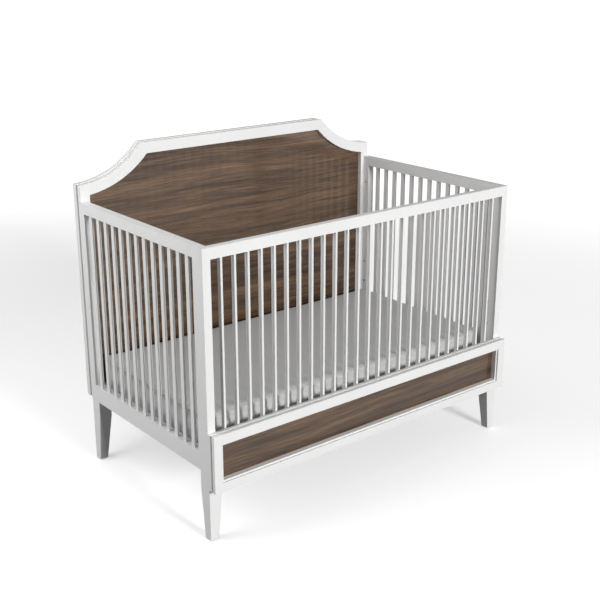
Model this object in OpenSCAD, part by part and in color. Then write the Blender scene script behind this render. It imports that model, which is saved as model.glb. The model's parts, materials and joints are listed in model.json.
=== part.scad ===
// Baby crib: two slatted end panels on tapered legs, a slatted front frame, a tall headboard with
// scooped shoulders, a framed apron below the front frame, and a mattress on a height-adjustable
// metal support.
// Millimetres. X runs along the crib, +Y points to the headboard and +Z up. The origin is on the
// floor, in the middle of the crib's length and of its overall depth.

/* [Overall] */
// Length over the outer faces of the end panels
crib_l = 1400; // [1360:5:1440]
// Depth from the front frame's front face to the back of the end panels
crib_d = 784; // [770:2:800]
// Height of the top of the front frame and the end panels
rail_z = 1012; // [980:2:1040]
// Height of the underside of the end panels and the headboard
panel_z = 249; // [240:1:256]

/* [End panels] */
// Thickness of the end panels' posts and rails
end_t = 30; // [28:1:34]
// Width of each end panel post
post_w = 33; // [30:1:38]
// Height of the top rails of the end panels and the front frame
top_rail_h = 38; // [34:1:46]
// Height of the end panels' bottom rails
bottom_rail_h = 65; // [56:1:72]
// Number of slats in an end panel
end_slats = 13; // [11:1:14]
// Distance from one end slat to the next
end_pitch = 51.6; // [46:0.2:52]
// Width of an end slat, along the panel
end_slat_w = 20; // [14:1:24]
// Thickness of an end slat
end_slat_t = 8; // [7:0.5:10]
// How far the end slats lie behind the panel's outer face
end_slat_inset = 4; // [2:0.5:8]

/* [Legs] */
// Width of a leg at its top, along the crib
leg_top_x = 50; // [46:1:56]
// Depth of a leg at its top
leg_top_y = 50; // [46:1:54]
// Height at which the taper of a leg starts
leg_taper_z = 185; // [150:5:230]
// Side of the square foot of a leg
leg_foot = 32; // [28:0.5:36]
// Height of the nylon glide under each leg
glide_h = 3; // [2:0.5:5]

/* [Front frame] */
// Thickness of the front frame
front_t = 24; // [22:1:26]
// Width of the front frame's stiles
front_stile_w = 30; // [26:1:36]
// Height of the front frame's bottom rail
front_bottom_h = 56; // [50:1:70]
// How far the top of that rail lies below the apron's top edge
front_bottom_drop = 14; // [0:1:16]
// Number of slats in the front frame
front_slats_n = 25; // [23:1:26]
// Distance from one front slat to the next
front_pitch = 52.2; // [48:0.2:53]
// Width of a front slat as seen from the front
front_slat_w = 8.5; // [7:0.5:10]
// Depth of a front slat
front_slat_d = 17.5; // [15:0.5:19]
// How far the front slats lie behind the frame's front face
front_slat_inset = 5; // [1:0.5:5]

/* [Apron] */
// Height of the apron's top edge
apron_top_z = 396; // [390:1:400]
// Height of the apron's bottom edge
apron_bottom_z = 191.5; // [180:0.5:200]
// Thickness of the apron's front layer
apron_face = 13; // [12:0.5:16]
// Thickness of the apron's middle layer, which holds the panel
apron_mid = 7.5; // [6:0.5:9]
// Thickness of the apron's back board
apron_back = 13.5; // [12:0.5:16]
// Width of the apron's stiles
apron_stile_w = 33.5; // [30:0.5:38]
// Height of the apron's top rail
apron_top_h = 35.5; // [30:0.5:40]
// Height of the apron's bottom rail
apron_bottom_h = 32; // [28:0.5:36]
// Width of the bead that lines the apron's opening
bead_w = 5.5; // [4:0.5:8]
// How far the bead lies behind the apron's face
bead_in = 7.5; // [4:0.5:10]
// How far the apron's panel lies behind the apron's face
apron_recess = 27; // [22:0.5:27]
// Thickness of the apron's panel
apron_panel_t = 5; // [4:0.5:6]

/* [Headboard] */
// Height of the crown
crown_z = 1196; // [1160:1:1230]
// Half the length of the straight crown
crown_half = 430; // [400:5:450]
// Lowest height of the scooped shoulders
shoulder_z = 1071; // [1060:1:1090]
// Radius of the scoops
scoop_r = 361; // [340:1:380]
// Thickness of the headboard's front layer
hb_face = 18; // [16:1:20]
// Thickness of the headboard's middle layer, which holds the panel
hb_mid = 12; // [9:1:14]
// Thickness of the headboard's back layer
hb_back = 22; // [18:1:24]
// How far each side of the headboard lies inside the end panels' outer faces
hb_inset = 7.5; // [6:0.5:9]
// Width of the headboard's front stiles
hb_stile_w = 37.5; // [34:0.5:42]
// Width of the headboard's front rails
hb_rail_w = 42; // [38:1:48]
// Width of the headboard's back frame
hb_back_w = 64; // [60:1:72]

/* [Mattress and support] */
// Gap between the mattress and each end panel
mattress_gap_x = 2; // [2:0.5:6]
// Depth of the mattress
mattress_d = 715; // [700:1:716]
// Thickness of the mattress
mattress_h = 125; // [110:5:130]
// Gap between the front frame and the mattress
mattress_gap_front = 26; // [24:1:30]
// Corner radius of the mattress
mattress_r = 35; // [15:5:60]
// Height of the bolts that carry the support at its lowest level
level_z = 270; // [268:1:274]
// Distance from one support level to the next
level_step = 90; // [75:5:95]
// Number of support levels
levels = 4; // [3:1:4]

/* [Hidden] */

WHITE = "white";
WALNUT = "saddlebrown";
STEEL = "silver";
DARK_STEEL = "dimgray";
BRASS = "goldenrod";
GREY_CLOTH = "gainsboro";
BEECH = "burlywood";
NYLON = "black";

// Main planes
half_l = crib_l / 2;
end_in_x = half_l - end_t;                      // inner face of an end panel
apron_t = apron_face + apron_mid + apron_back;
hb_t = hb_face + hb_mid + hb_back;
front_y = apron_t - (apron_t + crib_d + hb_t) / 2;  // front face of the front frame
back_y = front_y + crib_d;                      // back of the end panels, front of the headboard
panel_front_y = front_y + front_t;              // front of the end panels
post_front_in_y = panel_front_y + post_w;       // slat opening of an end panel, front edge
post_rear_in_y = back_y - post_w;               // slat opening of an end panel, rear edge
bottom_rail_top = panel_z + bottom_rail_h;
top_rail_bottom = rail_z - top_rail_h;
through = 1;                                    // overrun of a cut past a face

// Joinery
mortise = 10;                                   // depth of a slat's ends in the rails
slat_ease = 1.2;                                // flat along a slat's edges
dowel_r = 4;
dowel_l = 36;
dowel_in = dowel_l / 2;
dowel_x = half_l - 13;                          // dowels lie outside the support inserts
bottom_dowels_z = [panel_z + 16, panel_z + 49];
top_dowels_z = [top_rail_bottom + 10, rail_z - 10];
front_dowels_y = front_y + front_t / 2;
front_bottom_top = apron_top_z - front_bottom_drop;
front_bottom_z = front_bottom_top - front_bottom_h;
front_dowels_z = [front_bottom_z + 16, front_bottom_top - 16, top_rail_bottom + 10, rail_z - 10];

// Mattress support
post_axis_front = panel_front_y + post_w / 2;
post_axis_rear = back_y - post_w / 2;
insert_r = 5;
insert_l = 10;
bolt_r = 3;                                     // M6 thread and shank
shoulder_r = 4;
hanger_t = 4;
hanger_h = 43;
hanger_gap = 2;                                 // hanger to post
notch_r = shoulder_r + 0.3;
hanger_x = end_in_x - hanger_gap - hanger_t;    // inner face of a hanger
angle_t = 3;
angle_w = 30;
wire_r = 2.5;
support_half = hanger_x;
wire_in = 4;                                    // wire ends to the outside of the angle frame
support_top = level_z + 22;                     // top of the angle frame
support_bottom = support_top - angle_w;
rivet_r = 3;
rivet_head_t = 2;
rivet_steps = [25, 48];                         // from the bolt's axis
bolt_head_r = 7;
bolt_head_t = 4;
bolt_head_x = hanger_x - 0.5;                   // head clear of the hanger
head_clear = 2.5;                               // heads to the angle frame
support_front = post_axis_front + bolt_head_r + head_clear;
support_rear = post_axis_rear - bolt_head_r - head_clear;
cross_wires_n = 17;
cross_wire_pitch = 78;
long_wires_n = 7;
long_wire_pitch = 90;
cross_bar_x = 220;
cross_bar_w = 20;
mattress_clear = 0.3;                           // mattress to the wires below it
mattress_z = support_top + 2 * wire_r + mattress_clear;
mattress_front = panel_front_y + mattress_gap_front;

// Connector bolts
head_r = 8;
head_sink_r = 8.3;
head_t = 3;
bolt_hole_r = 3.25;
hb_bolt_x = end_in_x + 11;
hb_bolts_z = [panel_z + 61, 900];
nut_hole_y = post_axis_rear - 10;               // inner end of the headboard bolts' holes
barrel_r = 5;
barrel_l = 20;
frame_bolts_z = [410, 930];
frame_bolt_x = half_l - 16;
frame_insert_l = 14;
leg_bolt_x = half_l - 15;
leg_bolt_front_y = panel_front_y + 6;
leg_bolt_rear_y = back_y - 5;
leg_bolt_in = 40;                               // into the leg and into the post
glide_r = 11;
glide_pin_r = 2.5;
glide_pin_l = 15;
screw_r = 2;
screw_head_r = 4;
screw_head_t = 2.5;
screw_l = 34;
screws_x = [-600, -340, -130, 130, 340, 600];    // between the slats
screw_z = front_bottom_z + 42;

// Apron planes
apron_y = front_y - apron_t;
apron_mid_y = apron_y + apron_face;
apron_back_y = apron_mid_y + apron_mid;
apron_open_x = half_l - apron_stile_w;
apron_open_z0 = apron_bottom_z + apron_bottom_h;
apron_open_z1 = apron_top_z - apron_top_h;
panel_lap = 8;                                  // how far a panel runs behind its frame
apron_panel_y = apron_y + apron_recess;         // face of the apron's panel
core_side_in = 6;                               // shadow groove at the sides
core_top_in = 3;                                // shadow groove along the top and the bottom

// Headboard planes
hb_half = half_l - hb_inset;
hb_mid_y = back_y + hb_face;
hb_back_y = hb_mid_y + hb_mid;
hb_open_x = hb_half - hb_stile_w;
scoop_z = shoulder_z + scoop_r;
scoop_x = crown_half + sqrt(scoop_r * scoop_r - (scoop_z - crown_z) * (scoop_z - crown_z));
back_panel_t = 14;
SCOOP_FN = 240;

// ---------- helpers ----------

module box(x, y, z) {
    translate([x[0], y[0], z[0]]) cube([x[1] - x[0], y[1] - y[0], z[1] - z[0]]);
}

module rod_x(x, y, z, r) {
    translate([x[0], y, z]) rotate([0, 90, 0]) cylinder(r = r, h = x[1] - x[0], $fn = 32);
}

module rod_y(x, y, z, r) {
    translate([x, y[0], z]) rotate([-90, 0, 0]) cylinder(r = r, h = y[1] - y[0], $fn = 32);
}

module rod_z(x, y, z, r) {
    translate([x, y, z[0]]) cylinder(r = r, h = z[1] - z[0], $fn = 32);
}

// What is modelled on the right is mirrored to the left
module left() {
    mirror([1, 0, 0]) children();
}

module both() {
    children();
    left() children();
}

// Height of support level i
function level(i) = level_z + i * level_step;

// Place of item i in a row of n about the origin
function centred(i, n, pitch) = (i - (n - 1) / 2) * pitch;

// Upright slat with eased edges, centred on x and y
module slat(x, y, w, d, z) {
    e = slat_ease;
    outline = [[e, 0], [w - e, 0], [w, e], [w, d - e], [w - e, d], [e, d], [0, d - e], [0, e]];
    translate([x - w / 2, y - d / 2, z[0]]) linear_extrude(z[1] - z[0]) polygon(outline);
}

// ---------- end panels, modelled on the right ----------

end_slat_x = half_l - end_slat_inset - end_slat_t / 2;
end_mid_y = (post_front_in_y + post_rear_in_y) / 2;

module end_slat_places() {
    for (i = [0:end_slats - 1]) translate([0, end_mid_y + centred(i, end_slats, end_pitch), 0]) children();
}

module end_slat_row() {
    end_slat_places()
        slat(end_slat_x, 0, end_slat_t, end_slat_w, [bottom_rail_top - mortise, top_rail_bottom + mortise]);
}

module end_mortises(z) {
    w = end_slat_w / 2;
    t = end_slat_t / 2;
    end_slat_places() box([end_slat_x - t, end_slat_x + t], [-w, w], z);
}

// Dowels across the joints at y, one half in the rail and the other in the post
module end_dowels(y) {
    for (z = concat(bottom_dowels_z, top_dowels_z)) rod_y(dowel_x, [y - dowel_in, y + dowel_in], z, dowel_r);
}

module support_insert_holes(y) {
    for (i = [0:levels - 1]) rod_x([end_in_x - through, end_in_x + insert_l], y, level(i), insert_r);
}

module front_post() {
    color(WHITE) difference() {
        box([end_in_x, half_l], [panel_front_y, post_front_in_y], [panel_z, rail_z]);
        support_insert_holes(post_axis_front);
        end_dowels(post_front_in_y);
        rod_z(leg_bolt_x, leg_bolt_front_y, [panel_z - through, panel_z + leg_bolt_in], bolt_r);
        for (z = frame_bolts_z)
            rod_y(frame_bolt_x, [panel_front_y - through, post_front_in_y + through], z, bolt_hole_r);
    }
}

module rear_post() {
    color(WHITE) difference() {
        box([end_in_x, half_l], [post_rear_in_y, back_y], [panel_z, rail_z]);
        support_insert_holes(post_axis_rear);
        end_dowels(post_rear_in_y);
        rod_z(leg_bolt_x, leg_bolt_rear_y, [panel_z - through, panel_z + leg_bolt_in], bolt_r);
        for (z = hb_bolts_z) {
            rod_y(hb_bolt_x, [nut_hole_y, back_y + through], z, bolt_hole_r);
            rod_x([end_in_x - through, end_in_x + barrel_l], post_axis_rear, z, barrel_r);
        }
    }
}

module end_top_rail() {
    color(WHITE) difference() {
        box([end_in_x, half_l], [post_front_in_y, post_rear_in_y], [top_rail_bottom, rail_z]);
        end_mortises([top_rail_bottom - through, top_rail_bottom + mortise]);
        end_dowels(post_front_in_y);
        end_dowels(post_rear_in_y);
    }
}

module end_bottom_rail() {
    color(WHITE) difference() {
        box([end_in_x, half_l], [post_front_in_y, post_rear_in_y], [panel_z, bottom_rail_top]);
        end_mortises([bottom_rail_top - mortise, bottom_rail_top + through]);
        end_dowels(post_front_in_y);
        end_dowels(post_rear_in_y);
    }
}

module left_front_post() { left() front_post(); }
module left_rear_post() { left() rear_post(); }
module left_top_rail() { left() end_top_rail(); }
module left_bottom_rail() { left() end_bottom_rail(); }
module left_slats() { color(WHITE) left() end_slat_row(); }
module right_front_post() { front_post(); }
module right_rear_post() { rear_post(); }
module right_top_rail() { end_top_rail(); }
module right_bottom_rail() { end_bottom_rail(); }
module right_slats() { color(WHITE) end_slat_row(); }

// ---------- legs: outer faces upright, inner faces tapered ----------

// Outline of a leg between its outer face at 0 and its tapered inner face
module leg_side(top) {
    polygon([[0, glide_h], [leg_foot, glide_h], [top, leg_taper_z], [top, panel_z], [0, panel_z]]);
}

// Leg with its outer faces at x = 0 and y = 0, reaching toward +X and +Y
module leg_blank() {
    intersection() {
        translate([0, leg_top_y, 0]) rotate([90, 0, 0]) linear_extrude(leg_top_y) leg_side(leg_top_x);
        rotate([90, 0, 90]) linear_extrude(leg_top_x) leg_side(leg_top_y);
    }
}

module leg_holes(bolt_y, foot_y) {
    rod_z(leg_bolt_x, bolt_y, [panel_z - leg_bolt_in, panel_z + through], bolt_r);
    rod_z(half_l - leg_foot / 2, foot_y, [glide_h - through, glide_h + glide_pin_l], glide_pin_r);
}

module front_leg() {
    color(WHITE) difference() {
        translate([half_l, front_y, 0]) mirror([1, 0, 0]) leg_blank();
        leg_holes(leg_bolt_front_y, front_y + leg_foot / 2);
    }
}

module rear_leg() {
    color(WHITE) difference() {
        translate([half_l, back_y, 0]) mirror([1, 0, 0]) mirror([0, 1, 0]) leg_blank();
        leg_holes(leg_bolt_rear_y, back_y - leg_foot / 2);
    }
}

module left_front_leg() { left() front_leg(); }
module left_rear_leg() { left() rear_leg(); }
module right_front_leg() { front_leg(); }
module right_rear_leg() { rear_leg(); }

module leg_glides() {
    color(NYLON) both() for (y = [front_y + leg_foot / 2, back_y - leg_foot / 2]) {
        rod_z(half_l - leg_foot / 2, y, [0, glide_h], glide_r);
        rod_z(half_l - leg_foot / 2, y, [glide_h, glide_h + glide_pin_l], glide_pin_r);
    }
}

// ---------- front frame ----------

front_in_x = half_l - front_stile_w;
front_slat_y = front_y + front_slat_inset + front_slat_d / 2;

module front_slat_places() {
    for (i = [0:front_slats_n - 1]) translate([centred(i, front_slats_n, front_pitch), 0, 0]) children();
}

module front_mortises(z) {
    w = front_slat_w / 2;
    d = front_slat_d / 2;
    front_slat_places() box([-w, w], [front_slat_y - d, front_slat_y + d], z);
}

module front_dowels() {
    for (z = front_dowels_z)
        rod_x([front_in_x - dowel_in, front_in_x + dowel_in], front_dowels_y, z, dowel_r);
}

module front_stile() {
    color(WHITE) difference() {
        box([front_in_x, half_l], [front_y, panel_front_y], [panel_z, rail_z]);
        front_dowels();
        for (z = frame_bolts_z)
            rod_y(frame_bolt_x, [panel_front_y - frame_insert_l, panel_front_y + through], z, insert_r);
    }
}

module front_left_stile() { left() front_stile(); }
module front_right_stile() { front_stile(); }

module front_top_rail() {
    color(WHITE) difference() {
        box([-front_in_x, front_in_x], [front_y, panel_front_y], [top_rail_bottom, rail_z]);
        front_mortises([top_rail_bottom - through, top_rail_bottom + mortise]);
        both() front_dowels();
    }
}

module front_bottom_rail() {
    color(WHITE) difference() {
        box([-front_in_x, front_in_x], [front_y, panel_front_y], [front_bottom_z, front_bottom_top]);
        front_mortises([front_bottom_top - mortise, front_bottom_top + through]);
        both() front_dowels();
        screw_cuts();
    }
}

module front_slats() {
    color(WHITE) front_slat_places()
        slat(0, front_slat_y, front_slat_w, front_slat_d,
             [front_bottom_top - mortise, top_rail_bottom + mortise]);
}

// ---------- apron ----------

module apron_stile() {
    color(WHITE) box([apron_open_x, half_l], [apron_y, apron_mid_y], [apron_bottom_z, apron_top_z]);
}

module apron_left_stile() { left() apron_stile(); }
module apron_right_stile() { apron_stile(); }

module apron_top_rail() {
    color(WHITE) box([-apron_open_x, apron_open_x], [apron_y, apron_mid_y], [apron_open_z1, apron_top_z]);
}

module apron_bottom_rail() {
    color(WHITE) box([-apron_open_x, apron_open_x], [apron_y, apron_mid_y], [apron_bottom_z, apron_open_z0]);
}

module apron_opening(y) {
    box([-apron_open_x, apron_open_x], y, [apron_open_z0, apron_open_z1]);
}

// Strip that lines the opening and holds the panel in its pocket
module apron_bead() {
    color(WHITE) difference() {
        apron_opening([apron_y + bead_in, apron_panel_y]);
        box([bead_w - apron_open_x, apron_open_x - bead_w], [apron_y, apron_panel_y + through],
            [apron_open_z0 + bead_w, apron_open_z1 - bead_w]);
    }
}

module apron_panel() {
    color(WALNUT) apron_opening([apron_panel_y, apron_panel_y + apron_panel_t]);
}

module apron_core() {
    side = half_l - core_side_in;
    color(WHITE) difference() {
        box([-side, side], [apron_mid_y, apron_back_y],
            [apron_bottom_z + core_top_in, apron_top_z - core_top_in]);
        apron_opening([apron_mid_y - through, apron_back_y + through]);
    }
}

// Back board with a pocket for the panel
module apron_back_board() {
    color(WHITE) difference() {
        box([-half_l, half_l], [apron_back_y, front_y], [apron_bottom_z, apron_top_z]);
        apron_opening([apron_back_y - through, apron_panel_y + apron_panel_t]);
        screw_cuts();
    }
}

// ---------- headboard ----------

// Outline of the headboard, drawn in by a margin at the sides, the crown, the scoops and the base
module hb_outline(side, top, base) {
    difference() {
        translate([-hb_half + side, panel_z + base])
            square([2 * (hb_half - side), crown_z - top - panel_z - base]);
        for (s = [-1, 1]) translate([s * scoop_x, scoop_z]) circle(r = scoop_r + top, $fn = SCOOP_FN);
    }
}

// Board with its outline in XZ, between two planes in Y
module hb_board(y) {
    translate([0, y[1], 0]) rotate([90, 0, 0]) linear_extrude(y[1] - y[0]) children();
}

module hb_bolt_holes() {
    rear = back_y + hb_t;
    for (z = hb_bolts_z) {
        rod_y(hb_bolt_x, [back_y - through, rear + through], z, bolt_hole_r);
        rod_y(hb_bolt_x, [rear - head_t, rear + through], z, head_sink_r);
    }
}

// Front layer: the ring's four members
module hb_stile_at(y, x_in) {
    color(WHITE) difference() {
        hb_board(y) intersection() {
            hb_outline(0, 0, 0);
            translate([x_in, 0]) square([hb_half - x_in, crown_z]);
        }
        hb_bolt_holes();
    }
}

module hb_top_rail_at(y, x_in, width) {
    color(WHITE) hb_board(y) difference() {
        hb_outline(hb_half - x_in, 0, 0);
        hb_outline(hb_half - x_in - through, width, 0);
    }
}

module headboard_left_stile() { left() hb_stile_at([back_y, hb_mid_y], hb_open_x); }
module headboard_right_stile() { hb_stile_at([back_y, hb_mid_y], hb_open_x); }
module headboard_top_rail() { hb_top_rail_at([back_y, hb_mid_y], hb_open_x, hb_rail_w); }

module headboard_bottom_rail() {
    color(WHITE) box([-hb_open_x, hb_open_x], [back_y, hb_mid_y], [panel_z, panel_z + hb_rail_w]);
}

module hb_panel_outline() {
    hb_outline(hb_stile_w - panel_lap, hb_rail_w - panel_lap, hb_rail_w - panel_lap);
}

module headboard_panel() {
    color(WALNUT) hb_board([hb_mid_y, hb_back_y]) hb_panel_outline();
}

module headboard_core() {
    color(WHITE) difference() {
        hb_board([hb_mid_y, hb_back_y]) difference() {
            hb_outline(core_side_in, core_top_in, core_top_in);
            hb_panel_outline();
        }
        both() hb_bolt_holes();
    }
}

back_in_x = hb_half - hb_back_w;

module headboard_back_left_stile() { left() hb_stile_at([hb_back_y, hb_back_y + hb_back], back_in_x); }
module headboard_back_right_stile() { hb_stile_at([hb_back_y, hb_back_y + hb_back], back_in_x); }
module headboard_back_top_rail() {
    hb_top_rail_at([hb_back_y, hb_back_y + hb_back], back_in_x, hb_back_w);
}

module headboard_back_bottom_rail() {
    color(WHITE) box([-back_in_x, back_in_x], [hb_back_y, hb_back_y + hb_back],
                     [panel_z, panel_z + hb_back_w]);
}

module headboard_back_panel() {
    color(WHITE) hb_board([hb_back_y, hb_back_y + back_panel_t]) hb_outline(hb_back_w, hb_back_w, hb_back_w);
}

// ---------- mattress support ----------

// Lengthwise angle section: upright flange at y, top flange reaching inward by s * angle_w
module support_long_rail(y, s) {
    face = [min(y, y + s * angle_t), max(y, y + s * angle_t)];
    top = [min(y, y + s * angle_w), max(y, y + s * angle_w)];
    flange_x = support_half - angle_w;
    color(STEEL) {
        box([angle_t - support_half, support_half - angle_t], face, [support_bottom, support_top - angle_t]);
        box([-flange_x, flange_x], top, [support_top - angle_t, support_top]);
    }
}

module support_front_rail() { support_long_rail(support_front, 1); }
module support_rear_rail() { support_long_rail(support_rear, -1); }

module support_end_rail() {
    color(STEEL) difference() {
        union() {
            box([support_half - angle_t, support_half], [support_front, support_rear],
                [support_bottom, support_top]);
            box([support_half - angle_w, support_half], [support_front, support_rear],
                [support_top - angle_t, support_top]);
        }
        hanger_rivet_holes();
    }
}

module support_left_rail() { left() support_end_rail(); }
module support_right_rail() { support_end_rail(); }

module support_cross_bars() {
    top = support_top - 2 * wire_r;
    front = support_front + angle_t;
    rear = support_rear - angle_t;
    color(STEEL) both() {
        box([cross_bar_x, cross_bar_x + cross_bar_w], [front, rear], [top - angle_t, top]);
        box([cross_bar_x, cross_bar_x + angle_t], [front, rear], [support_bottom + angle_t, top - angle_t]);
    }
}

module support_cross_wires() {
    color(STEEL) for (i = [0:cross_wires_n - 1])
        rod_y(centred(i, cross_wires_n, cross_wire_pitch), [support_front + wire_in, support_rear - wire_in],
            support_top + wire_r, wire_r);
}

module support_long_wires() {
    mid_y = (support_front + support_rear) / 2;
    reach = support_half - angle_w;
    color(STEEL) for (i = [0:long_wires_n - 1])
        rod_x([-reach, reach], mid_y + centred(i, long_wires_n, long_wire_pitch),
              support_top - wire_r, wire_r);
}

// Hanger: a plate that hooks over its bolt with a notch open at the bottom
hanger_reach = 60;                              // from the bolt's axis toward the middle
hanger_back = 13;                               // from the bolt's axis toward the corner
hanger_bottom = panel_z + 2;                    // clear of the legs
rivet_z = level_z + 7;

module hanger(y, s) {
    y0 = min(y - s * hanger_back, y + s * hanger_reach);
    y1 = max(y - s * hanger_back, y + s * hanger_reach);
    difference() {
        box([hanger_x, hanger_x + hanger_t], [y0, y1], [hanger_bottom, hanger_bottom + hanger_h]);
        rod_x([hanger_x - through, hanger_x + hanger_t + through], y, level_z, notch_r);
        box([hanger_x - through, hanger_x + hanger_t + through], [y - notch_r, y + notch_r],
            [hanger_bottom - through, level_z]);
        hanger_rivet_holes();
    }
}

module hanger_rivet_row(x) {
    for (s = [-1, 1], d = rivet_steps) {
        y = (s > 0) ? post_axis_front + d : post_axis_rear - d;
        rod_x(x, y, rivet_z, rivet_r);
    }
}

module hanger_rivet_holes() {
    hanger_rivet_row([hanger_x - angle_t - through, hanger_x + hanger_t + through]);
}

module support_hangers() {
    color(DARK_STEEL) both() {
        hanger(post_axis_front, 1);
        hanger(post_axis_rear, -1);
    }
}

module support_rivets() {
    color(STEEL) both() {
        hanger_rivet_row([hanger_x - angle_t, hanger_x + hanger_t]);
        for (d = rivet_steps) for (y = [post_axis_front + d, post_axis_rear - d])
            rod_x([hanger_x - angle_t - rivet_head_t, hanger_x - angle_t], y, rivet_z, 2 * rivet_r);
    }
}

module support_bolts() {
    color(DARK_STEEL) both() for (y = [post_axis_front, post_axis_rear]) {
        rod_x([end_in_x, end_in_x + insert_l], y, level_z, bolt_r);
        rod_x([bolt_head_x, end_in_x], y, level_z, shoulder_r);
        rod_x([bolt_head_x - bolt_head_t, bolt_head_x], y, level_z, bolt_head_r);
    }
}

module support_inserts() {
    color(BRASS) both() for (i = [0:levels - 1]) for (y = [post_axis_front, post_axis_rear])
        difference() {
            rod_x([end_in_x, end_in_x + insert_l], y, level(i), insert_r);
            rod_x([end_in_x - through, end_in_x + insert_l + through], y, level(i), bolt_r);
        }
}

// ---------- fasteners ----------

module headboard_bolts() {
    rear = back_y + hb_t;
    color(DARK_STEEL) both() for (z = hb_bolts_z) {
        rod_y(hb_bolt_x, [post_axis_rear - barrel_r, rear - head_t], z, bolt_r);
        rod_y(hb_bolt_x, [rear - head_t, rear], z, head_r);
    }
}

module headboard_barrel_nuts() {
    color(BRASS) both() for (z = hb_bolts_z) difference() {
        rod_x([end_in_x, end_in_x + barrel_l], post_axis_rear, z, barrel_r);
        rod_y(hb_bolt_x, [post_axis_rear - 2 * barrel_r, post_axis_rear + 2 * barrel_r], z, bolt_r);
    }
}

module front_frame_bolts() {
    color(DARK_STEEL) both() for (z = frame_bolts_z) {
        rod_y(frame_bolt_x, [panel_front_y - frame_insert_l, post_front_in_y], z, bolt_r);
        rod_y(frame_bolt_x, [post_front_in_y, post_front_in_y + head_t], z, head_r);
    }
}

module front_frame_inserts() {
    color(BRASS) both() for (z = frame_bolts_z) difference() {
        rod_y(frame_bolt_x, [panel_front_y - frame_insert_l, panel_front_y], z, insert_r);
        rod_y(frame_bolt_x, [panel_front_y - frame_insert_l - through, panel_front_y + through], z, bolt_r);
    }
}

module leg_bolts() {
    color(STEEL) both() for (y = [leg_bolt_front_y, leg_bolt_rear_y])
        rod_z(leg_bolt_x, y, [panel_z - leg_bolt_in, panel_z + leg_bolt_in], bolt_r);
}

module rail_dowels() {
    color(BEECH) both() {
        end_dowels(post_front_in_y);
        end_dowels(post_rear_in_y);
        front_dowels();
    }
}

module screw_cuts() {
    for (x = screws_x) {
        rod_y(x, [panel_front_y - screw_l, panel_front_y + through], screw_z, screw_r);
        rod_y(x, [panel_front_y - screw_head_t, panel_front_y + through], screw_z, screw_head_r);
    }
}

module apron_screws() {
    color(STEEL) for (x = screws_x) {
        rod_y(x, [panel_front_y - screw_l, panel_front_y - screw_head_t], screw_z, screw_r);
        rod_y(x, [panel_front_y - screw_head_t, panel_front_y], screw_z, screw_head_r);
    }
}

// ---------- mattress ----------

module mattress() {
    half = end_in_x - mattress_gap_x - mattress_r;
    depth = [mattress_front + mattress_r, mattress_front + mattress_d - mattress_r];
    color(GREY_CLOTH) translate([0, 0, mattress_z]) linear_extrude(mattress_h) union() {
        for (x = [-half, half], y = depth) translate([x, y]) circle(r = mattress_r, $fn = 64);
        translate([-half - mattress_r, depth[0]])
            square([2 * (half + mattress_r), depth[1] - depth[0]]);
        translate([-half, depth[0] - mattress_r])
            square([2 * half, depth[1] - depth[0] + 2 * mattress_r]);
    }
}

left_front_post();
left_rear_post();
left_top_rail();
left_bottom_rail();
left_slats();
right_front_post();
right_rear_post();
right_top_rail();
right_bottom_rail();
right_slats();
left_front_leg();
left_rear_leg();
right_front_leg();
right_rear_leg();
leg_glides();
front_left_stile();
front_right_stile();
front_top_rail();
front_bottom_rail();
front_slats();
apron_left_stile();
apron_right_stile();
apron_top_rail();
apron_bottom_rail();
apron_bead();
apron_panel();
apron_core();
apron_back_board();
headboard_left_stile();
headboard_right_stile();
headboard_top_rail();
headboard_bottom_rail();
headboard_panel();
headboard_core();
headboard_back_left_stile();
headboard_back_right_stile();
headboard_back_top_rail();
headboard_back_bottom_rail();
headboard_back_panel();
support_front_rail();
support_rear_rail();
support_left_rail();
support_right_rail();
support_cross_bars();
support_cross_wires();
support_long_wires();
support_hangers();
support_rivets();
support_bolts();
support_inserts();
headboard_bolts();
headboard_barrel_nuts();
front_frame_bolts();
front_frame_inserts();
leg_bolts();
rail_dowels();
apron_screws();
mattress();
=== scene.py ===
"""Baby crib: eased painted boards, walnut panels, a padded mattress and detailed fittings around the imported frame."""
import json
import math

import bmesh
import bpy
import numpy as np
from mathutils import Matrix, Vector
from mathutils.bvhtree import BVHTree


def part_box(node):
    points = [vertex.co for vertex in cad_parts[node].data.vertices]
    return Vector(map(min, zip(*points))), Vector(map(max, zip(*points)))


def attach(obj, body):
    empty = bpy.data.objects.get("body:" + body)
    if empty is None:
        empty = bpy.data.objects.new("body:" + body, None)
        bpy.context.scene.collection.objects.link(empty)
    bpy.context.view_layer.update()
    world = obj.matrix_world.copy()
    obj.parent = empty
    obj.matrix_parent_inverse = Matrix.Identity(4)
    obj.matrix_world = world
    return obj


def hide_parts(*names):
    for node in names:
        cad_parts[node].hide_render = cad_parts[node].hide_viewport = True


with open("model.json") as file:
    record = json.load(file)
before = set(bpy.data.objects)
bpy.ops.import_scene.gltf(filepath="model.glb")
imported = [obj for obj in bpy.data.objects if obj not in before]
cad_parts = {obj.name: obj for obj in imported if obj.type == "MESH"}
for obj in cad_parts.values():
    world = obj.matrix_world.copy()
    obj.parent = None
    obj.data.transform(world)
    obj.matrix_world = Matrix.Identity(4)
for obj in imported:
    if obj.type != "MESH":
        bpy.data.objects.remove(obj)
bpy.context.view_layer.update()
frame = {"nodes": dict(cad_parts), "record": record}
scene = bpy.context.scene
NODES = frame["nodes"]
SLOTS = {s["node"]: s["material_slot"] for s in frame["record"]["subparts"]}
BODY_OF = {n: b for b, ns in frame["record"]["behaviour"]["bodies"].items() for n in ns}

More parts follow.
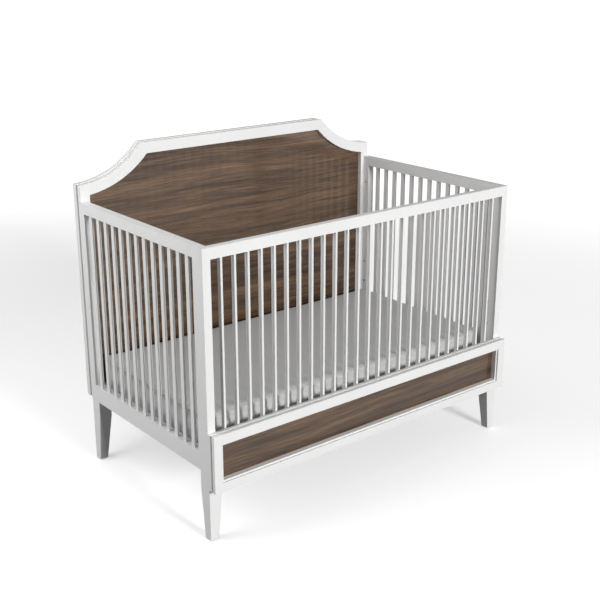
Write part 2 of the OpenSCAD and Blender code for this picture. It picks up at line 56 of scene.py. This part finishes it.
# Sizes are in metres
SAME_POINT = 1e-6                               # vertices closer than this are one
SAME_PLANE = 0.01                               # faces that turn less than this, in radians, are one
PAINT = (0.755, 0.755, 0.75)                    # warm white satin paint
EASE_BOARD = 0.0012                             # edge radius of posts, rails, legs and boards
EASE_SLAT = 0.0007
EASE_FINE = 0.0005                              # edge radius of the bead, the cores and the slatted rail
SHORTEST_EASED = 0.004                          # edges shorter than this stay sharp
CONTACT = 0.0002                                # how near a neighbour counts as touching
BEHIND = 0.0001                                 # how far off its surface a point still counts as inside it
PROBE = 0.0006                                  # how far from an edge a neighbour is looked for
PAD_VOXEL, PAD_VOXEL_QUICK = 0.0058, 0.012
PAD_CORNER = 0.034                              # corner radius of the mattress in plan, before it swells
PAD_EDGE = 0.008                                # radius of its long edges, before it swells
PAD_SHRINK = (0.004, 0.004, 0.002)              # how much smaller it starts on every side
PAD_CAP = 0.008                                 # furthest that a point of it may move
PRESSURE, CLOTH_FRAMES = 4.0, 20
PIPING = 0.0024                                 # radius of the corded seam round the mattress edges
PIPING_INSET = 0.010                            # from the mattress's top and bottom to the seam
PIPING_POINTS, PIPING_SIDES = 260, 8
SOCKET_DEPTH = 0.0024
HEAD_ROUND = 0.0010                             # rounding of a bolt head's rim

# ---------- node helpers ----------


def new_material(name):
    mat = bpy.data.materials.new(name)
    mat.use_nodes = True
    nt = mat.node_tree
    nt.nodes.clear()
    out = nt.nodes.new("ShaderNodeOutputMaterial")
    bsdf = nt.nodes.new("ShaderNodeBsdfPrincipled")
    nt.links.new(bsdf.outputs[0], out.inputs[0])
    return mat, nt, bsdf


def node(nt, kind, inputs=(), **props):
    """A node with its properties set; inputs maps a socket to a value or to another node's output."""
    n = nt.nodes.new(kind)
    for k, v in props.items():
        setattr(n, k, v)
    for k, v in dict(inputs).items():
        if isinstance(v, bpy.types.NodeSocket):
            nt.links.new(v, n.inputs[k])
        else:
            n.inputs[k].default_value = v
    return n


def place(nt, scale=(1, 1, 1), offset=(0, 0, 0)):
    """Object coordinates, in metres, scaled and moved."""
    tc = node(nt, "ShaderNodeTexCoord")
    m = node(nt, "ShaderNodeMapping", {0: tc.outputs["Object"], "Location": offset, "Scale": scale})
    return m.outputs[0]


def noise(nt, vec, scale, detail=2.0, rough=0.5):
    n = node(nt, "ShaderNodeTexNoise", {"Vector": vec, "Scale": scale, "Detail": detail, "Roughness": rough})
    return n.outputs[0]


def ramp(nt, fac, stops):
    """A colour ramp; stops are pairs of a position and a colour or grey."""
    r = node(nt, "ShaderNodeValToRGB", {0: fac})
    e = r.color_ramp.elements
    while len(e) < len(stops):
        e.new(0.5)
    for el, (pos, col) in zip(e, stops):
        el.position = pos
        el.color = (*col, 1) if hasattr(col, "__len__") else (col, col, col, 1)
    return r.outputs[0]


def mixed(nt, fac, a, b):
    m = node(nt, "ShaderNodeMix", data_type="RGBA")
    for i, v in ((0, fac), (6, a), (7, b)):
        if isinstance(v, bpy.types.NodeSocket):
            nt.links.new(v, m.inputs[i])
        else:
            m.inputs[i].default_value = v if i == 0 else (*v, 1)
    return m.outputs[2]


def calc(nt, op, *values):
    m = node(nt, "ShaderNodeMath", operation=op)
    for i, v in enumerate(values):
        if isinstance(v, bpy.types.NodeSocket):
            nt.links.new(v, m.inputs[i])
        else:
            m.inputs[i].default_value = v
    return m.outputs[0]


def scaled(nt, value, low, high):
    return node(nt, "ShaderNodeMapRange", {0: value, 3: low, 4: high}).outputs[0]


def bump(nt, height, strength, distance, under=None):
    inputs = {"Height": height, "Strength": strength, "Distance": distance}
    if under is not None:
        inputs["Normal"] = under
    return node(nt, "ShaderNodeBump", inputs).outputs[0]


# ---------- materials ----------


def painted_wood(name, offset):
    """Sprayed satin paint over close-grained wood: faint tone drift, fine orange peel, a little telegraphed grain."""
    mat, nt, bsdf = new_material(name)
    drift = noise(nt, place(nt, offset=offset), 3.0, 3.0)
    fleck = noise(nt, place(nt, offset=offset), 60.0, 4.0, 0.6)
    tone = calc(nt, "ADD", calc(nt, "MULTIPLY", drift, 0.7), calc(nt, "MULTIPLY", fleck, 0.3))
    dark, light = tuple(c * 0.965 for c in PAINT), tuple(min(1, c * 1.03) for c in PAINT)
    nt.links.new(ramp(nt, tone, [(0.3, dark), (0.7, light)]), bsdf.inputs["Base Color"])
    peel = noise(nt, place(nt, offset=offset), 420.0, 2.0)
    grain = noise(nt, place(nt, (1, 1, 0.06), offset), 240.0, 3.0)
    nt.links.new(scaled(nt, fleck, 0.36, 0.48), bsdf.inputs["Roughness"])
    low = bump(nt, grain, 0.12, 0.0004)
    nt.links.new(bump(nt, peel, 0.10, 0.0003, low), bsdf.inputs["Normal"])
    bsdf.inputs["Specular IOR Level"].default_value = 0.42
    return mat


def walnut_veneer(name, offset, depth=1.0):
    """Flat-cut walnut, grain along X: wavering growth bands, fine straight lines, dark pores, a clear lacquer."""
    mat, nt, bsdf = new_material(name)
    xyz = node(nt, "ShaderNodeSeparateXYZ", {0: place(nt, offset=offset)})
    wander = noise(nt, place(nt, (0.7, 1, 1.6), offset), 1.5, 1.0)
    waver = noise(nt, place(nt, (0.35, 1, 2.0), offset), 9.0, 2.0)
    lift = calc(nt, "ADD", calc(nt, "MULTIPLY", wander, 0.09), calc(nt, "MULTIPLY", waver, 0.004))
    height = calc(nt, "ADD", xyz.outputs[2], lift)
    grain = node(nt, "ShaderNodeCombineXYZ", {0: calc(nt, "MULTIPLY", xyz.outputs[0], 0.035), 1: xyz.outputs[1],
                                              2: height}).outputs[0]
    bands = noise(nt, grain, 26.0, 3.0, 0.65)
    lines = noise(nt, grain, 190.0, 5.0, 0.7)
    pores = noise(nt, place(nt, (0.04, 1, 1), offset), 700.0, 3.0, 0.7)
    flame = noise(nt, place(nt, (0.5, 1, 1.6), offset), 3.0, 2.0)
    tone = calc(nt, "ADD", calc(nt, "MULTIPLY", bands, 0.5), calc(nt, "MULTIPLY", lines, 0.5))
    tones = [(0.36, (0.024, 0.0130, 0.0070)), (0.45, (0.066, 0.0370, 0.0200)),
             (0.53, (0.118, 0.0680, 0.0370)), (0.64, (0.200, 0.1210, 0.0690))]
    wood = ramp(nt, tone, [(at, tuple(c * depth for c in colour)) for at, colour in tones])
    shaded = mixed(nt, ramp(nt, flame, [(0.42, 0.0), (0.72, 0.4)]), wood, (0.062, 0.036, 0.022))
    pored = mixed(nt, ramp(nt, pores, [(0.30, 0.7), (0.42, 0.0)]), shaded, (0.022, 0.012, 0.007))
    nt.links.new(pored, bsdf.inputs["Base Color"])
    nt.links.new(scaled(nt, lines, 0.32, 0.46), bsdf.inputs["Roughness"])
    nt.links.new(bump(nt, pores, 0.12, 0.0002, bump(nt, lines, 0.08, 0.0003)), bsdf.inputs["Normal"])
    bsdf.inputs["Specular IOR Level"].default_value = 0.3
    bsdf.inputs["Coat Weight"].default_value = 0.45
    bsdf.inputs["Coat Roughness"].default_value = 0.08
    return mat


def plain_wood(name, light, dark):
    """Unfinished turned dowel wood, streaked along X."""
    mat, nt, bsdf = new_material(name)
    streaks = noise(nt, place(nt, (0.05, 1, 1)), 160.0, 4.0)
    nt.links.new(ramp(nt, streaks, [(0.35, dark), (0.65, light)]), bsdf.inputs["Base Color"])
    nt.links.new(scaled(nt, streaks, 0.5, 0.7), bsdf.inputs["Roughness"])
    nt.links.new(bump(nt, streaks, 0.2, 0.0004), bsdf.inputs["Normal"])
    return mat


def metal(name, colour, rough, metallic=1.0):
    """Rolled, coated or plated steel with smeared gloss and patchy tone."""
    mat, nt, bsdf = new_material(name)
    smear = noise(nt, place(nt), 130.0, 4.0, 0.6)
    patch = noise(nt, place(nt), 18.0, 3.0)
    dark = tuple(c * 0.82 for c in colour)
    nt.links.new(mixed(nt, patch, dark, colour), bsdf.inputs["Base Color"])
    nt.links.new(scaled(nt, smear, rough - 0.07, rough + 0.09), bsdf.inputs["Roughness"])
    nt.links.new(bump(nt, smear, 0.12, 0.0002), bsdf.inputs["Normal"])
    bsdf.inputs["Metallic"].default_value = metallic
    return mat


def plastic(name, colour, rough):
    """Moulded nylon with a fine grit."""
    mat, nt, bsdf = new_material(name)
    grit = noise(nt, place(nt), 900.0, 3.0)
    nt.links.new(mixed(nt, grit, colour, tuple(c * 1.5 + 0.01 for c in colour)), bsdf.inputs["Base Color"])
    nt.links.new(scaled(nt, grit, rough - 0.05, rough + 0.1), bsdf.inputs["Roughness"])
    nt.links.new(bump(nt, grit, 0.2, 0.0002), bsdf.inputs["Normal"])
    return mat


def ticking(name, light, dark):
    """Tight plain-weave mattress cloth: threads both ways, soft tone drift, a little sheen."""
    mat, nt, bsdf = new_material(name)
    threads = []
    for axis in "XYZ":
        w = node(nt, "ShaderNodeTexWave", {"Vector": place(nt), "Scale": 210.0, "Distortion": 0.6,
                                           "Detail": 1.0, "Detail Scale": 2.0}, bands_direction=axis)
        threads.append(w.outputs[1])
    weave = calc(nt, "MAXIMUM", calc(nt, "MAXIMUM", threads[0], threads[1]), threads[2])
    drift = noise(nt, place(nt), 5.0, 4.0, 0.6)
    slub = noise(nt, place(nt, (0.12, 1, 1)), 260.0, 3.0)
    tone = calc(nt, "ADD", calc(nt, "MULTIPLY", weave, 0.25),
                calc(nt, "ADD", calc(nt, "MULTIPLY", drift, 0.45), calc(nt, "MULTIPLY", slub, 0.30)))
    nt.links.new(ramp(nt, tone, [(0.25, dark), (0.75, light)]), bsdf.inputs["Base Color"])
    nt.links.new(scaled(nt, slub, 0.62, 0.82), bsdf.inputs["Roughness"])
    nt.links.new(bump(nt, weave, 0.25, 0.0004, bump(nt, drift, 0.12, 0.004)), bsdf.inputs["Normal"])
    bsdf.inputs["Sheen Weight"].default_value = 0.12
    bsdf.inputs["Sheen Roughness"].default_value = 0.5
    bsdf.inputs["Specular IOR Level"].default_value = 0.25
    return mat


WHITE = [painted_wood(f"white_satin_paint_{i}", (0.37 * i, 0.91 * i, 0.53 * i)) for i in range(3)]
MATERIAL = {
    "walnut": walnut_veneer("walnut_veneer", (0.31, 0.0, 0.17)),
    "beech": plain_wood("beech_dowel", (0.62, 0.45, 0.28), (0.50, 0.34, 0.20)),
    "mattress_cloth": ticking("mattress_ticking", (0.47, 0.47, 0.468), (0.40, 0.40, 0.398)),
    # The piping is a real corded seam. Its cloth is painted a touch lighter than the mattress cloth as a painted
    # highlight, standing in for light caught on the rounded top edge
    "piping_painted_highlight": ticking("mattress_piping", (0.52, 0.52, 0.518), (0.46, 0.46, 0.458)),
    "coated_steel": metal("powder_coated_steel", (0.36, 0.37, 0.38), 0.42, 0.55),
    "dark_steel": metal("blackened_steel", (0.05, 0.05, 0.055), 0.36, 0.9),
    "bright_steel": metal("zinc_plated_steel", (0.58, 0.58, 0.60), 0.28),
    "zinc_insert": metal("zinc_insert", (0.50, 0.49, 0.46), 0.34),
    "nylon": plastic("black_nylon", (0.025, 0.025, 0.026), 0.5),
}
APRON_WALNUT = walnut_veneer("walnut_veneer_apron", (1.73, 0.6, 2.405), 0.82)


def finish_of(name):
    """A CAD node's material; painted nodes share three variants of the paint."""
    if name == "apron_panel":
        return APRON_WALNUT
    slot = SLOTS[name]
    return WHITE[sum(map(ord, name)) % len(WHITE)] if slot == "white_paint" else MATERIAL[slot]


def new_piece(name, mesh, mat, replaced, body=None):
    """A mesh piece in place of CAD nodes, which it hides, with the given material and on their body; with no nodes, the
    body is given.
    """
    obj = bpy.data.objects.new(name, mesh)
    scene.collection.objects.link(obj)
    mesh.materials.clear()
    mesh.materials.append(mat)
    if replaced:
        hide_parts(*replaced)
    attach(obj, body or BODY_OF[replaced[0]])
    return obj


# ---------- boards: the CAD shapes with their free edges eased ----------

TREES = {}
BOXES = {n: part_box(n) for n in NODES}


def tree(name):
    """Search tree over a CAD node's faces, made once."""
    if name not in TREES:
        me = NODES[name].data
        TREES[name] = BVHTree.FromPolygons([v.co for v in me.vertices], [p.vertices for p in me.polygons])
    return TREES[name]


def near(name, point, gap):
    low, high = BOXES[name]
    return all(low[i] - gap <= point[i] <= high[i] + gap for i in range(3))


def covered(point, others):
    """True where a point just off a board lies in or on a neighbouring board."""
    for other in others:
        if near(other, point, CONTACT):
            loc, normal, _, _ = tree(other).find_nearest(point)
            if (point - loc).dot(normal) < BEHIND:
                return True
    return False


def cad_copy(name):
    """A CAD node's mesh in bmesh form, with its flat faces whole."""
    bm = bmesh.new()
    bm.from_mesh(NODES[name].data)
    bmesh.ops.remove_doubles(bm, verts=bm.verts, dist=SAME_POINT)
    bmesh.ops.dissolve_limit(bm, angle_limit=SAME_PLANE, verts=bm.verts, edges=bm.edges)
    return bm


def smooth_mesh(bm, name):
    """The finished bmesh as a smooth-shaded mesh."""
    me = bpy.data.meshes.new(name)
    bm.to_mesh(me)
    bm.free()
    me.shade_smooth()
    return me


def eased(name, others, radius=EASE_BOARD, lowest_turn=50):
    """A copy of a CAD node whose edges are rounded where no neighbour meets them."""
    bm = cad_copy(name)
    low, high = BOXES[name]
    touching = [o for o in others if o != name and all(
        BOXES[o][0][i] < high[i] + 0.001 and BOXES[o][1][i] > low[i] - 0.001 for i in range(3))]
    cuts = {(i, round(c[i], 6)) for o in touching for c in BOXES[o] for i in range(3)
            if low[i] + 0.004 < c[i] < high[i] - 0.004}
    for i, at in sorted(cuts):
        axis = Vector([float(i == k) for k in range(3)])
        bmesh.ops.bisect_plane(bm, geom=list(bm.verts) + list(bm.edges) + list(bm.faces), dist=SAME_POINT,
                               plane_co=axis * at, plane_no=axis)
    chosen = []
    for e in bm.edges:
        if len(e.link_faces) != 2 or e.calc_length() < SHORTEST_EASED:
            continue
        if not e.is_convex or math.degrees(e.calc_face_angle(0)) < lowest_turn:
            continue
        mid = (e.verts[0].co + e.verts[1].co) / 2
        a, b = (f.normal for f in e.link_faces)
        if not any(covered(mid + PROBE * d, touching) for d in (a - b * 2, b - a * 2, a + b)):
            chosen.append(e)
    bmesh.ops.bevel(bm, geom=chosen, offset=radius, segments=2, profile=0.6, affect="EDGES",
                    clamp_overlap=True)
    bm.normal_update()
    piece = new_piece(name + "_eased", smooth_mesh(bm, name + "_eased"), finish_of(name), [name])
    piece.modifiers.new("edges", "EDGE_SPLIT").split_angle = math.radians(32)
    weigh = piece.modifiers.new("normals", "WEIGHTED_NORMAL")
    weigh.keep_sharp = True
    return piece


WOODEN = [n for n in NODES if SLOTS[n] in ("white_paint", "walnut")]
SLATTED = ("left_slats", "right_slats", "front_slats")
RIGID = [w for w in WOODEN if w not in SLATTED]
for wood in WOODEN:
    if wood in SLATTED:
        eased(wood, [], radius=EASE_SLAT, lowest_turn=30)
    elif wood in ("apron_core", "headboard_core", "apron_bead"):
        eased(wood, WOODEN, radius=EASE_FINE)
    elif wood == "front_bottom_rail":
        eased(wood, RIGID, radius=EASE_FINE)
    else:
        eased(wood, RIGID)

# ---------- mattress ----------


def rounded_slab(low, high, radius, edge):
    """Slab with rounded corners in plan and rounded edges."""
    bm = bmesh.new()
    steps = 10
    plan = []
    for cx, cy, start in ((1, 1, 0), (-1, 1, 90), (-1, -1, 180), (1, -1, 270)):
        for k in range(steps + 1):
            a = math.radians(start + 90 * k / steps)
            x = (high[0] if cx > 0 else low[0]) - cx * radius
            y = (high[1] if cy > 0 else low[1]) - cy * radius
            plan.append((x + radius * math.cos(a), y + radius * math.sin(a)))
    lower = [bm.verts.new((x, y, low[2])) for x, y in plan]
    upper = [bm.verts.new((x, y, high[2])) for x, y in plan]
    bm.faces.new(upper)
    bm.faces.new(lower[::-1])
    n = len(plan)
    for k in range(n):
        bm.faces.new((lower[k], lower[(k + 1) % n], upper[(k + 1) % n], upper[k]))
    rims = [e for e in bm.edges if abs(e.verts[0].co.z - e.verts[1].co.z) < SAME_POINT]
    bmesh.ops.bevel(bm, geom=rims, offset=edge, segments=5, profile=0.5, affect="EDGES")
    bm.normal_update()
    return bm


def cushion(name, low, high):
    """A slab inflated by a cloth simulation, with each point's move capped and kept in its box."""
    bm = rounded_slab([c + g for c, g in zip(low, PAD_SHRINK)], [c - g for c, g in zip(high, PAD_SHRINK)],
                      PAD_CORNER, PAD_EDGE)
    me = bpy.data.meshes.new(name)
    bm.to_mesh(me)
    bm.free()
    obj = bpy.data.objects.new(name, me)
    scene.collection.objects.link(obj)
    remesh = obj.modifiers.new("remesh", "REMESH")
    remesh.mode = "VOXEL"
    remesh.voxel_size = PAD_VOXEL
    deps = bpy.context.evaluated_depsgraph_get()
    flat = bpy.data.meshes.new_from_object(obj.evaluated_get(deps))
    obj.modifiers.clear()
    obj.data = flat
    rest = np.array([v.co for v in flat.vertices])
    cloth = obj.modifiers.new("inflate", "CLOTH")
    cloth.settings.use_pressure = True
    cloth.settings.uniform_pressure_force = PRESSURE
    cloth.settings.effector_weights.gravity = 0.0
    cloth.settings.quality = 4
    cloth.settings.tension_stiffness = cloth.settings.compression_stiffness = 12
    for f in range(1, CLOTH_FRAMES + 1):
        scene.frame_set(f)
    deps = bpy.context.evaluated_depsgraph_get()
    blown = bpy.data.meshes.new_from_object(obj.evaluated_get(deps))
    moved = np.array([v.co for v in blown.vertices])
    obj.modifiers.clear()
    scene.frame_set(1)
    push = moved - rest
    size = np.linalg.norm(push, axis=1, keepdims=True)
    push *= np.minimum(1, PAD_CAP / np.maximum(size, 1e-9))
    moved = np.clip(rest + push, np.array(low), np.array(high))
    flat.vertices.foreach_set("co", moved.astype(np.float32).ravel())
    flat.update()
    sub = obj.modifiers.new("smooth", "SUBSURF")
    sub.levels = sub.render_levels = 1
    deps = bpy.context.evaluated_depsgraph_get()
    final = bpy.data.meshes.new_from_object(obj.evaluated_get(deps))
    obj.modifiers.clear()
    obj.data = final
    final.shade_smooth()
    return obj


def outline(mesh, z, count):
    """Points of a mesh's silhouette at height z, all the way round."""
    co = np.array([v.co for v in mesh.vertices])
    band = co[np.abs(co[:, 2] - z) < 0.006]
    centre = (co.max(0) + co.min(0)) / 2
    half = (co.max(0) - co.min(0)) / 2
    angle = np.arctan2((band[:, 1] - centre[1]) / half[1], (band[:, 0] - centre[0]) / half[0])
    points = []
    for k in range(count):
        a = -math.pi + 2 * math.pi * k / count
        gap = np.abs((angle - a + math.pi) % (2 * math.pi) - math.pi)
        near_by = band[gap < 2.2 * math.pi / count]
        r = np.linalg.norm((near_by[:, :2] - centre[:2]) / half[:2], axis=1)
        best = near_by[r.argmax()]
        points.append(Vector((best[0], best[1], z)))
    return points


def tube(name, points, radius, low, high):
    """Closed round tube through points, kept in a box."""
    bm = bmesh.new()
    rings = []
    n = len(points)
    for k, p in enumerate(points):
        along = (points[(k + 1) % n] - points[k - 1]).normalized()
        out = Vector((along.y, -along.x, 0)).normalized()
        ring = []
        for s in range(PIPING_SIDES):
            a = 2 * math.pi * s / PIPING_SIDES
            co = p + radius * (math.cos(a) * out + math.sin(a) * Vector((0, 0, 1)))
            ring.append(bm.verts.new([min(max(co[i], low[i]), high[i]) for i in range(3)]))
        rings.append(ring)
    for k in range(n):
        a, b = rings[k], rings[(k + 1) % n]
        for s in range(PIPING_SIDES):
            t = (s + 1) % PIPING_SIDES
            bm.faces.new((a[s], b[s], b[t], a[t]))
    bmesh.ops.recalc_face_normals(bm, faces=bm.faces)
    return smooth_mesh(bm, name)


pad_low, pad_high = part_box("mattress")
pad = cushion("mattress_pad", pad_low, pad_high)
pad.data.materials.clear()
pad.data.materials.append(MATERIAL["mattress_cloth"])
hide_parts("mattress")
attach(pad, "mattress")

# Both seams use the lighter piping cloth, a painted highlight along the mattress edges
for which, seam_z in (("top", pad_high[2] - PIPING_INSET), ("bottom", pad_low[2] + PIPING_INSET)):
    run = outline(pad.data, seam_z, PIPING_POINTS)
    cord = tube(f"mattress_piping_{which}", run, PIPING, pad_low, pad_high)
    new_piece(f"mattress_piping_{which}", cord, MATERIAL["piping_painted_highlight"], [], "mattress")

# ---------- bolts: heads rounded over, with a hexagon socket ----------


def radius_of(face):
    return max((v.co - face.calc_center_median()).length for v in face.verts)


def socketed(name):
    """A copy of a CAD bolt node with a hexagon socket in each head."""
    bm = cad_copy(name)
    discs = [f for f in bm.faces if len(f.verts) >= 12 and f.calc_area() > 0.93 * math.pi * radius_of(f) ** 2]
    widest = max(map(radius_of, discs))
    heads = [f for f in discs if radius_of(f) > 0.95 * widest]
    for head in heads:
        normal, middle, across = head.normal.copy(), head.calc_center_median(), head.verts[0].co.copy()
        bmesh.ops.bevel(bm, geom=list(head.edges), offset=HEAD_ROUND, segments=4, profile=0.5, affect="EDGES")
        flat = max((f for f in bm.faces if len(f.verts) >= 12 and (f.calc_center_median() - middle).length < 1e-4),
                   key=lambda f: f.calc_area())
        first = (across - middle).normalized()
        second = normal.cross(first)
        rim = list(flat.verts)
        bmesh.ops.delete(bm, geom=[flat], context="FACES_ONLY")
        loops = [rim]
        for size, sunk in ((0.50, 0.0), (0.46, 0.03), (0.46, 1.0)):      # share of the head's width, of the depth
            loop = []
            for v in rim:
                turn = math.atan2((v.co - middle).dot(second), (v.co - middle).dot(first))
                corner = (turn + math.pi / 6) % (math.pi / 3) - math.pi / 6
                r = widest * size * math.cos(math.pi / 6) / math.cos(corner)
                loop.append(bm.verts.new(middle + r * (math.cos(turn) * first + math.sin(turn) * second)
                                         - sunk * SOCKET_DEPTH * normal))
            loops.append(loop)
        for a, b in zip(loops, loops[1:]):
            for k in range(len(rim)):
                bm.faces.new((a[k], a[(k + 1) % len(rim)], b[(k + 1) % len(rim)], b[k]))
        bm.faces.new(loops[-1])
    bmesh.ops.recalc_face_normals(bm, faces=bm.faces)
    piece = new_piece(name + "_socketed", smooth_mesh(bm, name + "_socketed"), finish_of(name), [name])
    piece.modifiers.new("edges", "EDGE_SPLIT").split_angle = math.radians(28)
    return piece


for bolts in ("headboard_bolts", "front_frame_bolts", "support_bolts"):
    socketed(bolts)

# ---------- floor, light and camera ----------

FLOOR_GLOW = 0.44                               # the floor's own light beside the crib; 1 further out
GLOW_FROM, GLOW_TO = 2.0, 7.0                   # distance over which it rises
SKY = 0.24                                      # ambient light from above the horizon
GROUND = 0.06                                   # and from below it


def studio():
    """Pale floor whose own glow keeps it white without lighting the crib from below."""
    mat, nt, bsdf = new_material("studio_floor")
    tone = noise(nt, place(nt), 0.7, 2.0)
    nt.links.new(ramp(nt, tone, [(0.3, (0.80, 0.80, 0.80)), (0.7, (0.82, 0.82, 0.82))]), bsdf.inputs["Base Color"])
    bsdf.inputs["Roughness"].default_value = 0.9
    bsdf.inputs["Specular IOR Level"].default_value = 0.1
    bsdf.inputs["Emission Color"].default_value = (1, 1, 1, 1)
    spot = node(nt, "ShaderNodeVectorMath", {0: node(nt, "ShaderNodeNewGeometry").outputs["Position"]},
                operation="LENGTH").outputs["Value"]
    far = node(nt, "ShaderNodeMapRange", {0: spot, 1: GLOW_FROM, 2: GLOW_TO, 3: FLOOR_GLOW, 4: 1.0},
               interpolation_type="SMOOTHSTEP").outputs[0]
    nt.links.new(far, bsdf.inputs["Emission Strength"])
    bpy.ops.mesh.primitive_plane_add(size=160, location=(0, 0, -0.0005))
    floor = bpy.context.object
    floor.name = "studio_floor"
    floor.data.materials.append(mat)
    floor.visible_diffuse = False


def area_light(name, at, target, size, power):
    data = bpy.data.lights.new(name, "AREA")
    data.shape = "RECTANGLE"
    data.size, data.size_y = size
    data.energy = power
    lamp = bpy.data.objects.new(name, data)
    scene.collection.objects.link(lamp)
    lamp.location = at
    lamp.rotation_euler = (Vector(target) - Vector(at)).to_track_quat("-Z", "Y").to_euler()
    lamp.visible_camera = False


studio()
area_light("key", (0.2, -11.3, 3.7), (0, 0, 0.6), (2.6, 2.2), 1290)
area_light("side_left", (-3.9, 1.6, 2.0), (-0.4, 0, 0.7), (5.0, 3.2), 90)
area_light("top_left", (-1.9, 0.3, 2.4), (-0.4, 0, 0.9), (0.8, 1.6), 17)

world = bpy.data.worlds.new("studio_world")
scene.world = world
world.use_nodes = True
wt = world.node_tree
background = wt.nodes["Background"]
up = node(wt, "ShaderNodeSeparateXYZ", {0: node(wt, "ShaderNodeTexCoord").outputs["Generated"]}).outputs[2]
glow = node(wt, "ShaderNodeMapRange", {0: up, 1: -0.05, 2: 0.15, 3: GROUND, 4: SKY}).outputs[0]
seen = node(wt, "ShaderNodeLightPath").outputs["Is Camera Ray"]
wt.links.new(calc(wt, "MAXIMUM", glow, seen), background.inputs[1])
background.inputs[0].default_value = (1, 1, 1, 1)
scene.view_settings.view_transform = "Standard"
scene.view_settings.look = "None"

camera = bpy.data.objects.new("camera", bpy.data.cameras.new("camera"))
scene.collection.objects.link(camera)
camera.location = (-2.3687, -2.9390, 1.8771)
camera.rotation_euler = (math.pi / 2 - 0.3274, 0.001, -0.6796)
camera.data.sensor_width = 36
camera.data.lens = 62.53
camera.data.clip_end = 200
scene.camera = camera

# ---------- finishes on the CAD nodes that stay ----------

for name, obj in NODES.items():
    if not obj.hide_render:
        for s in obj.material_slots:
            s.material = finish_of(name)
